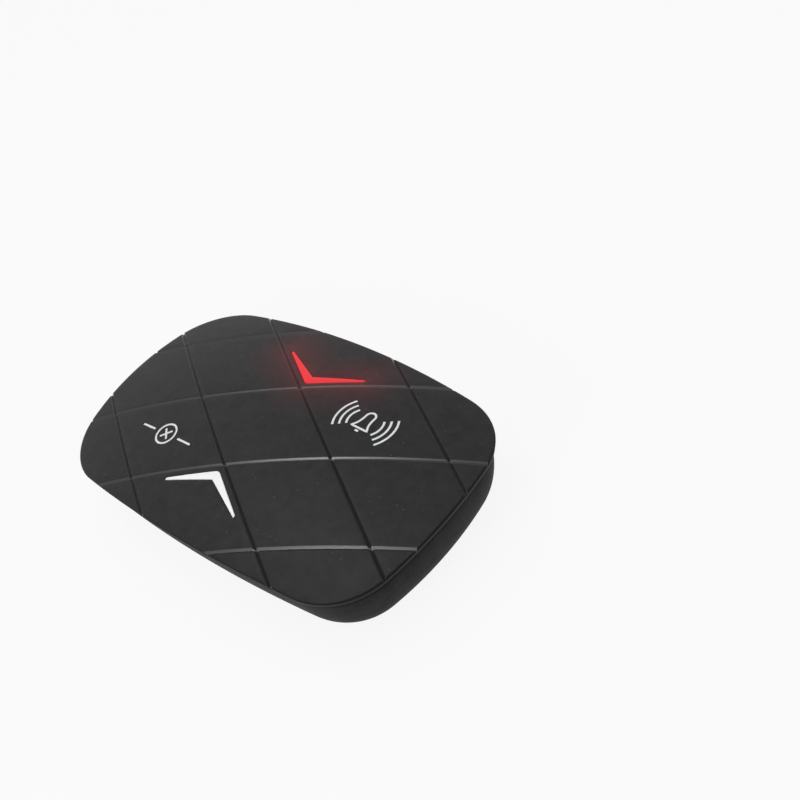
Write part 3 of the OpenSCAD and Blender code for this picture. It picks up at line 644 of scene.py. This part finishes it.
def moulded_black(name, hex_code, grain_mm, specular, rough, glow=None):
    """Black ABS from a spark-eroded tool: a satin grain, faintly mottled, with pale specks.

    The real grain is finer than a pixel, so it is drawn coarser. Where the mesh is marked as
    polished, in the grooves, a coat makes the plastic shine. Where it is marked for painted shade,
    in the grooves and on upright edges, the black is plain and darker: shade painted into the
    colour. glow is the strength of a painted red glow, an emission that stands in for the light of
    the lit window on the plastic round it.
    """
    material, tree, place = new_material(name)
    grain = noise(tree, place, grain_mm, 2.0, Roughness=0.6)
    patch = ramp(tree, noise(tree, place, 3, 8.0, Roughness=0.75), 0.0, 1.0, 0.3, 0.7)
    black = tint(hex_code)
    colour = blend(tree, patch, scaled(black, 0.7), scaled(black, 1.4))
    cell = put(tree, "ShaderNodeTexVoronoi", Vector=place, Scale=1000/1.6)
    chosen = calc(tree, "GREATER_THAN", cell.outputs["Color"], 0.62)
    spot = ramp(tree, cell.outputs["Distance"], 0.6, 0.0, 0.04, 0.14)
    colour = blend(tree, calc(tree, "MULTIPLY", spot, chosen), colour, tint("#4a4a4a"))
    # Painted shade: marked points are darkened to near black, as shade in the grooves, under the
    # rim's overhang and at the base's lip and foot.
    deep = put(tree, "ShaderNodeAttribute", {"attribute_name": "deep"}).outputs["Fac"]
    colour = blend(tree, deep, colour, tint("#040404"))
    polish = put(tree, "ShaderNodeAttribute", {"attribute_name": "polish"}).outputs["Fac"]
    spread = put(tree, "ShaderNodeMix", {"data_type": "FLOAT"}, _0=deep,
                 _2=ramp(tree, grain, *rough), _3=0.58)
    bump = put(tree, "ShaderNodeBump", Height=grain, Strength=0.3, Distance=0.00004)
    light = {}
    # Painted light: the cover itself glows red round the lit window.
    if glow:
        light = {"Emission_Strength": glow(tree, place), "Emission_Color": tint("#ff2a30")}
    surface(tree, Base_Color=colour, Roughness=spread.outputs[0], Normal=bump.outputs[0],
            IOR=1.54, Specular_IOR_Level=specular, Coat_Weight=polish, Coat_Roughness=0.3,
            **light)
    return material


# The red glow on the cover round the lit window is painted light, an emission in the cover's own
# material.
painted_glow_reach, painted_glow_power, painted_glow_strength = 13, 2.5, 0.07


def painted_red_glow(tree, place):
    """Strength of the painted red glow round the lit chevron on the cover: a power of what is left
    of its reach.
    """
    away = ramp(tree, chevron_reach(tree, place), 1.0, 0.0, 0.0, painted_glow_reach*0.001)
    return calc(tree, "MULTIPLY", calc(tree, "POWER", away, painted_glow_power), painted_glow_strength)


def mark(piece, **marks):
    """Writes marks on a piece's points, from their plan, depth in the outline and drop."""
    points = np.empty(len(piece.data.vertices)*3)
    piece.data.vertices.foreach_get("co", points)
    points = points.reshape(-1, 3)*1000
    plan = np.clip(points[:, :2], -half_size, half_size)
    for name, rule in marks.items():
        values = rule(plan, outline_depth(plan)[0], crown(plan) - points[:, 2])
        attribute = piece.data.attributes.new(name, "FLOAT", "POINT")
        attribute.data.foreach_set("value", values.astype(np.float32))


def in_groove(plan, depth, drop):
    """1 in a groove, falling to 0 just inside its lips, on the plate's top only."""
    off = np.min([groove_distance(plan, *groove) for groove in grooves], 0)/(groove_w/2)
    return np.interp(off, [0.82, 0.94], [1, 0])*(drop < 0.6)*(depth > 0.1)


def painted_shade_in_grooves_and_rim(plan, depth, drop):
    """Painted shade: 1 in a groove and, within 1.2 mm of the rim, on what lies below the crown,
    where the grooves and the rim's wall are in shade.
    """
    return np.maximum(in_groove(plan, depth, drop),
                      (depth < 1.2)*np.interp(drop, [0.04, 0.16], [0, 1]))


cover_black = moulded_black("textured_black_abs", "#222223", 0.3, 0.12, (0.36, 0.5), painted_red_glow)
cover = shape("rocking_cover", *plate())
under = moulding_copy("top_cover")
combine(under, block_under_crown(inset=1.0, drop=1.0, low=8.0), "INTERSECT")
for side in (1, -1):
    combine(under, prism(chevron(hole_fit + 0.3, side), low=7.0, high=22.0), "DIFFERENCE")
combine(cover, under, "UNION")
# The grooves and the rim's wall get painted shade through their mark.
mark(cover, polish=in_groove, deep=painted_shade_in_grooves_and_rim)
dress(cover, "cover", cover_black)
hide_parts("top_cover")


# ---------------------------------------------------------------- base
# The lower moulding, in the same black ABS but smoother, whose wall curves in to the flat bottom.
# Its outer skin is drawn smooth here, over the ring, bosses, ribs and stops of the moulding
# inside.

edge_inset, bowl_run, seam_gap = 1.2, 8.3, 0.6
under_seam = cover_t + seam_gap
foot_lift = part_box("base_shell")[0][2]*1000
skin, overlap, lip_round = 0.75, 0.35, 0.3
door_recess_r, foot_recess_r = 13.67, 4.12
foot_x, foot_y = 25, 11


def bowl_rings(inset, bottom, shares):
    """Rings of the bowl: at a share s the inset grows by run times (1 - cos 90 s), and the
    height falls from the seam's edge by sin 90 s of the way to the bottom."""
    top = crown(outline(inset), under_seam)
    rings = []
    for s in shares:
        fall = math.sin(math.pi/2*s)
        plan = outline(inset + bowl_run*(1 - math.cos(math.pi/2*s)))
        rings.append(np.column_stack([plan, top + (bottom - top)*fall]))
    return rings


def outer_skin():
    """Cup between two bowls, with a lip rounded like a quarter circle at its outer edge."""
    shares = np.linspace(0, 1, 41)
    inner = bowl_rings(edge_inset + skin, foot_lift + skin, shares[::-1])
    outer = bowl_rings(edge_inset, foot_lift, shares[1:])
    lip = []
    for a in np.linspace(0, math.pi/2, 5):
        plan = outline(edge_inset + lip_round*(1 - math.sin(a)))
        height = crown(plan, under_seam) - lip_round*(1 - math.cos(a))
        lip.append(np.column_stack([plan, height]))
    return shape("base", *loft([*inner, *lip, *outer]))


def cylinder(x, y, r, low, high, steps=96):
    """Upright round solid: two rings of r times (cos a, sin a)."""
    a = 2*math.pi*np.arange(steps)/steps
    ring = np.stack([x + r*np.cos(a), y + r*np.sin(a)], 1)
    rings = [np.column_stack([ring, np.full(steps, z)]) for z in (low, high)]
    return shape("round", *loft(rings))


def painted_shade_at_lip_and_foot(plan, depth, drop):
    """Painted shade: 1 just under the seam, where the cover's overhang shades the wall, 0 on the
    wall, and rising again towards the foot.
    """
    return np.interp(drop, [2.8, 3.3, 7, 13], [1, 0, 0, 0.8])


base = outer_skin()
feet = [(sx*foot_x, sy*foot_y, foot_recess_r) for sx in (-1, 1) for sy in (-1, 1)]
for x, y, r in [(0, 0, door_recess_r), *feet]:
    combine(base, cylinder(x, y, r, low=-1, high=foot_lift + skin + 0.5), "DIFFERENCE")
inner_inset, inner_floor = edge_inset + skin - overlap, foot_lift + skin - overlap
inner_bowl = bowl_rings(inner_inset, inner_floor, np.linspace(1, 0.03, 40))
inner_lid = lid_rings(inner_inset, under_seam + 0.05)
core = moulding_copy("base_shell")
combine(core, shape("bowl", *loft([*inner_bowl, *inner_lid])), "INTERSECT")
combine(base, core, "UNION")
# The base's wall gets painted shade under the seam and towards its foot.
mark(base, deep=painted_shade_at_lip_and_foot)
dress(base, "base", moulded_black("satin_black_abs", "#303031", 0.4, 0.05, (0.5, 0.7)))
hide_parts("base_shell")


# ---------------------------------------------------------------- chevron lenses
# Translucent polycarbonate light windows, flush with the crown, held by a flange under the plate.
# The red one is lit through its light guide. The white one is not lit; its faint glow is painted
# light.

lens_grow, lens_round = 0.01, 0.1


def lens_plug(side):
    """Window: the chevron's plan up to the crown, its edge rounded like a quarter circle."""
    rows = [chevron(lens_grow - lens_round*(1 - math.cos(a)), side)
            for a in np.linspace(0, math.pi/2, 4)]
    starts, edges = edges_of_loops(rows)
    loop = rows[0]
    plan, faces, place = triangulate(np.concatenate(rows), edges, lambda p: within(p, loop))
    low = float(crown(loop, cover_t).min()) - 0.3
    height = crown(plan) - edge_round(lens_round, loop_distance(plan, loop))
    top = np.column_stack([plan, height])
    bottom = np.column_stack([plan, np.full(len(plan), low)])
    ring = place[:starts[1]]
    return shape("window", np.concatenate([top, bottom]),
                 faces.tolist() + (faces[:, ::-1] + len(plan)).tolist()
                 + wall_faces(ring, ring + len(plan)))


def glowing_window(name, hex_code, light_hex, glow):
    """Milky satin polycarbonate, with a haze that varies its light by a tenth."""
    material, tree, place = new_material(name)
    haze = noise(tree, place, 3, 2.0)
    light = tint(light_hex)
    surface(tree, Base_Color=tint(hex_code), Roughness=0.4, IOR=1.58, Specular_IOR_Level=0.2,
            Emission_Color=blend(tree, haze, scaled(light, 0.9), light),
            Emission_Strength=glow)
    return material


lit_red = glowing_window("lit_red_polycarbonate", "#5c0c10", "#e02630", 1.0)
# The white window's faint white glow is painted light: it is not lit.
milky_white = glowing_window("white_polycarbonate", "#e4e4e4", "#ffffff", 0.12)
for side, name, body_slot, material in ((1, "call", "red_lens", lit_red),
                                        (-1, "clear", "white_lens", milky_white)):
    lens = lens_plug(side)
    flange = moulding_copy(name + "_lens")
    combine(flange, block_under_crown(inset=0.5, drop=cover_t - 0.3, low=8.0), "INTERSECT")
    combine(lens, flange, "UNION")
    lens.name = name + "_window"
    dress(lens, "cover", material)
    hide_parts(name + "_lens")


# ---------------------------------------------------------------- printed marks
# Pale grey pad printing at the two ends: a ringing bell where the cover is pressed to call, and
# a crossed ring where it is pressed to clear. The lines are thin slabs, half sunk in the crown.

mark_w, mark_t = 0.42, 0.06


def stroke(path, closed):
    """Points and faces of one printed line: a flat rectangular section carried along a plan path.

    Across the path, half the width to each side of the unit vector at right angles to the chord
    between a point's neighbours; up and down, half the thickness from the crown.
    """
    chord = np.roll(path, -1, 0) - np.roll(path, 1, 0) if closed else np.gradient(path, axis=0)
    normal = np.stack([-chord[:, 1], chord[:, 0]], 1)/np.linalg.norm(chord, axis=1)[:, None]
    across = normal*mark_w/2
    left, right = path + across, path - across
    corners = [np.column_stack([p, crown(p) + h]) for p, h in (
        (left, -mark_t/2), (left, mark_t/2), (right, mark_t/2), (right, -mark_t/2))]
    points = np.stack(corners, 1).reshape(-1, 3)
    rows = np.arange(len(points)).reshape(-1, 4)
    ahead = np.roll(rows, -1, 0) if closed else rows[1:]
    faces = [f for row, after in zip(rows, ahead) for f in wall_faces(row, after)]
    if not closed:
        faces += [rows[0][::-1].tolist(), rows[-1].tolist()]
    return points, faces


def arc(x, y, r, first, last, count):
    """Points on a circle between two angles in degrees."""
    a = np.radians(np.linspace(first, last, count))
    return np.stack([x + r*np.cos(a), y + r*np.sin(a)], 1)


def bell_outline(w, h):
    """Closed bell: a half-round top, sides that flare by the cube of the way down, a flat lip."""
    t = np.linspace(0, 1, 14)
    right = np.stack([w*(0.52 + 0.48*t**3), h*(0.45 - 0.95*t)], 1)
    top = arc(0, h*0.45, w*0.52, 180, 0, 17)[1:-1]
    lip = np.stack([np.linspace(w, -w, 13)[1:-1], np.full(11, -h*0.5)], 1)
    left = right[::-1]*[-1, 1]
    return np.concatenate([right, lip, left, top])


def print_mark(name, centre, strokes):
    """One printed mark from its strokes, which ride on the cover."""
    points, faces, count = [], [], 0
    for path, closed in strokes:
        p, f = stroke(path + centre, closed)
        points.append(p)
        faces += (np.array(f) + count).tolist()
        count += len(p)
    mark = shape(name, np.concatenate(points), faces)
    dress(mark, "cover", ink)


ink, tree, place = new_material("pale_pad_print")
worn = noise(tree, place, 0.3, 3.0)
surface(tree, Base_Color=blend(tree, worn, tint("#cfcfcf"), tint("#eaeaea")), Roughness=0.6)

print_mark("call_mark", np.array([17.9, 9.7]), [
    (bell_outline(1.9, 3.3), True),
    (np.array([[-0.4, -2.35], [0.4, -2.35]]), False),
    *((arc(side*0.4, 0, r, middle - 36, middle + 36, 14), False)
      for side, middle in ((1, 0), (-1, 180)) for r in (3.2, 4.5, 5.8))])
print_mark("clear_mark", np.array([-18.4, -10.1]), [
    (arc(0, 0, 2.3, 0, 360, 49)[:-1], True),
    (np.linspace([-1, -1], [1, 1], 6), False), (np.linspace([-1, 1], [1, -1], 6), False),
    *((np.linspace([side*3.7, 0], [side*7.6, 0], 9), False) for side in (1, -1))])


# ---------------------------------------------------------------- inner frame, pins and membrane
# Natural ABS deck with its pillars and pivot posts, two hardened pins pressed into the posts, and
# a soft silicone sheet with a dome over each switch, which keeps spills off the board.

def wear(node, material):
    """Gives a carried-over CAD node its material."""
    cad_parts[node].data.materials.clear()
    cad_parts[node].data.materials.append(material)


def plain_finish(name, pale_hex, deep_hex, pattern_mm, rough, stretch=(1, 1, 1), dent=0.0,
                 **sockets):
    """A finish between two colours, in a noise of a real size that may be drawn out on an axis.

    rough is the least and greatest roughness, and dent the depth of its bump in millimetres.
    """
    material, tree, place = new_material(name)
    place = put(tree, "ShaderNodeMapping", Vector=place, Scale=stretch).outputs[0]
    pattern = noise(tree, place, pattern_mm, 4.0)
    if dent:
        bump = put(tree, "ShaderNodeBump", Height=pattern, Strength=0.5, Distance=dent*0.001)
        sockets["Normal"] = bump.outputs[0]
    surface(tree, Base_Color=blend(tree, pattern, tint(deep_hex), tint(pale_hex)),
            Roughness=ramp(tree, pattern, *rough), **sockets)
    return material


wear("inner_frame", plain_finish("natural_abs", "#dedfd9", "#cfcfc8", 6, (0.4, 0.55),
                                 dent=0.02, IOR=1.54))
wear("pivot_pins", plain_finish("ground_steel", "#b4b5b8", "#8f9093", 0.4, (0.22, 0.38),
                                stretch=(0.2, 6, 0.2), Metallic=1.0))
wear("splash_membrane", plain_finish("grey_silicone", "#989ba0", "#83868a", 3, (0.5, 0.7),
                                     dent=0.03, IOR=1.41))

clear_acrylic = plain_finish("clear_acrylic", "#fbfdff", "#eef3f6", 4, (0.03, 0.12),
                             Transmission_Weight=1.0, IOR=1.49)
wear("call_light_guide", clear_acrylic)
wear("clear_light_guide", clear_acrylic)


# ---------------------------------------------------------------- circuit board
# Green glass-epoxy board: copper tracks show through the solder mask as paler lines.

board_material, tree, place = new_material("green_solder_mask")
tracks = put(tree, "ShaderNodeTexBrick", {"offset": 0.37, "squash": 0.6}, Vector=place,
             Scale=1000/9, Mortar_Size=0.03, Mortar_Smooth=0.1, Color1=(1, 1, 1, 1),
             Color2=(1, 1, 1, 1), Mortar=(0, 0, 0, 1)).outputs["Fac"]
mask = blend(tree, noise(tree, place, 0.6, 2.0), tint("#17502d"), tint("#1f6238"))
bump = put(tree, "ShaderNodeBump", Height=tracks, Strength=0.5, Distance=0.00004)
surface(tree, Base_Color=blend(tree, tracks, mask, tint("#3f8a4c")), Roughness=0.3,
        Normal=bump.outputs[0])
wear("circuit_board", board_material)


def banded(name, axis, centre, limit, near, far, period=0.0):
    """A part with two finishes that meet at a distance from its middle along an axis.

    near and far are each a colour, a roughness and how metallic it is. With a period the
    distance repeats.
    """
    soft = 0.02
    material, tree, place = new_material(name)
    along = put(tree, "ShaderNodeSeparateXYZ", Vector=place).outputs[axis]
    off = calc(tree, "SUBTRACT", along, centre*0.001)
    if period:
        off = calc(tree, "PINGPONG", off, period*0.0005)
    off = calc(tree, "ABSOLUTE", off)
    share = ramp(tree, off, 0.0, 1.0, (limit - soft)*0.001, (limit + soft)*0.001)
    rough, metallic = (ramp(tree, share, near[k], far[k]) for k in (1, 2))
    grime = put(tree, "ShaderNodeTexNoise", Vector=place, Scale=1000/0.5, Detail=3.0)
    colour = blend(tree, share, tint(near[0]), tint(far[0]))
    surface(tree, Base_Color=blend(tree, 0.25, colour, grime.outputs["Color"], "MULTIPLY"),
            Roughness=rough, Metallic=metallic)
    return material


def foot_of(node):
    """Level of a node's lowest point, in millimetres."""
    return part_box(node)[0][2]*1000


tin = ("#c4c5c2", 0.3, 1.0)
wear("radio_chip", banded("black_epoxy_package", "Z", foot_of("radio_chip"), 0.15, tin,
                          ("#1d1d1f", 0.55, 0.0)))
wear("crystal", plain_finish("nickel_can", "#c9c8c4", "#a9a8a4", 0.4, (0.2, 0.35),
                             stretch=(6, 0.3, 0.3), Metallic=1.0))
wear("antenna", banded("alumina_with_silver_ends", "Y", 0, 3.6, ("#e4e2da", 0.4, 0.0), tin))
wear("board_passives", banded("ceramic_chips", "X", -7.0, 0.5, ("#a8794b", 0.45, 0.0), tin,
                              period=2.6))


# ---------------------------------------------------------------- switches and lamps
# Push switches with a black glass-filled body under a pressed steel plate and an amber acetal
# plunger, and two white surface-mounted lamps with a clear resin spot.

switch_body = banded("nylon_body_with_steel_plate", "Z", foot_of("call_switch"), 2.7,
                     ("#242427", 0.5, 0.0), ("#a6a7aa", 0.3, 1.0))
amber = plain_finish("amber_acetal", "#e0ab4c", "#c98f33", 1.2, (0.3, 0.45), IOR=1.48)
lamp_body = banded("lamp_package", "Z", foot_of("call_led"), 0.82,
                   ("#efeee6", 0.45, 0.0), ("#f1dc9a", 0.12, 0.0))
for end in ("call", "clear"):
    wear(end + "_switch", switch_body)
    wear(end + "_plunger", amber)
    wear(end + "_led", lamp_body)


# ---------------------------------------------------------------- coin cell and contacts
# Steel cell, brushed round its axis, between two leaves of gold-flashed spring bronze.

cell, tree, place = new_material("brushed_stainless_can")
flat = put(tree, "ShaderNodeVectorMath", {"operation": "MULTIPLY"}, _0=place, _1=(1, 1, 0))
radius = put(tree, "ShaderNodeVectorMath", {"operation": "LENGTH"}, _0=flat.outputs[0])
lines = put(tree, "ShaderNodeTexNoise", {"noise_dimensions": "1D"}, Scale=1000/0.15,
            W=radius.outputs["Value"], Detail=2.0).outputs["Fac"]
surface(tree, Base_Color=blend(tree, lines, tint("#9c9da0"), tint("#c6c7ca")),
        Roughness=ramp(tree, lines, 0.22, 0.4), Metallic=1.0)
wear("coin_cell", cell)

gold_flash = plain_finish("gold_flashed_bronze", "#d9b25f", "#c39a49", 0.5, (0.2, 0.35),
                          stretch=(0.3, 4, 1), Metallic=1.0)
wear("positive_contact", gold_flash)
wear("negative_contact", gold_flash)


# ---------------------------------------------------------------- battery door, feet and screws
# Coin-turned door of the base's ABS on a rubber ring, four moulded rubber feet, and the four
# zinc-plated screws that they hide.

wear("battery_door", moulded_black("satin_black_abs_door", "#303031", 0.4, 0.1, (0.4, 0.55)))
wear("door_seal", plain_finish("seal_rubber", "#1d1d1d", "#141414", 0.8, (0.55, 0.75)))
wear("rubber_feet", plain_finish("foot_rubber", "#232323", "#191919", 0.5, (0.7, 0.9),
                                 dent=0.03))
wear("case_screws", plain_finish("zinc_plated_steel", "#c2c4c8", "#9b9da3", 0.6, (0.25, 0.4),
                                 Metallic=1.0))
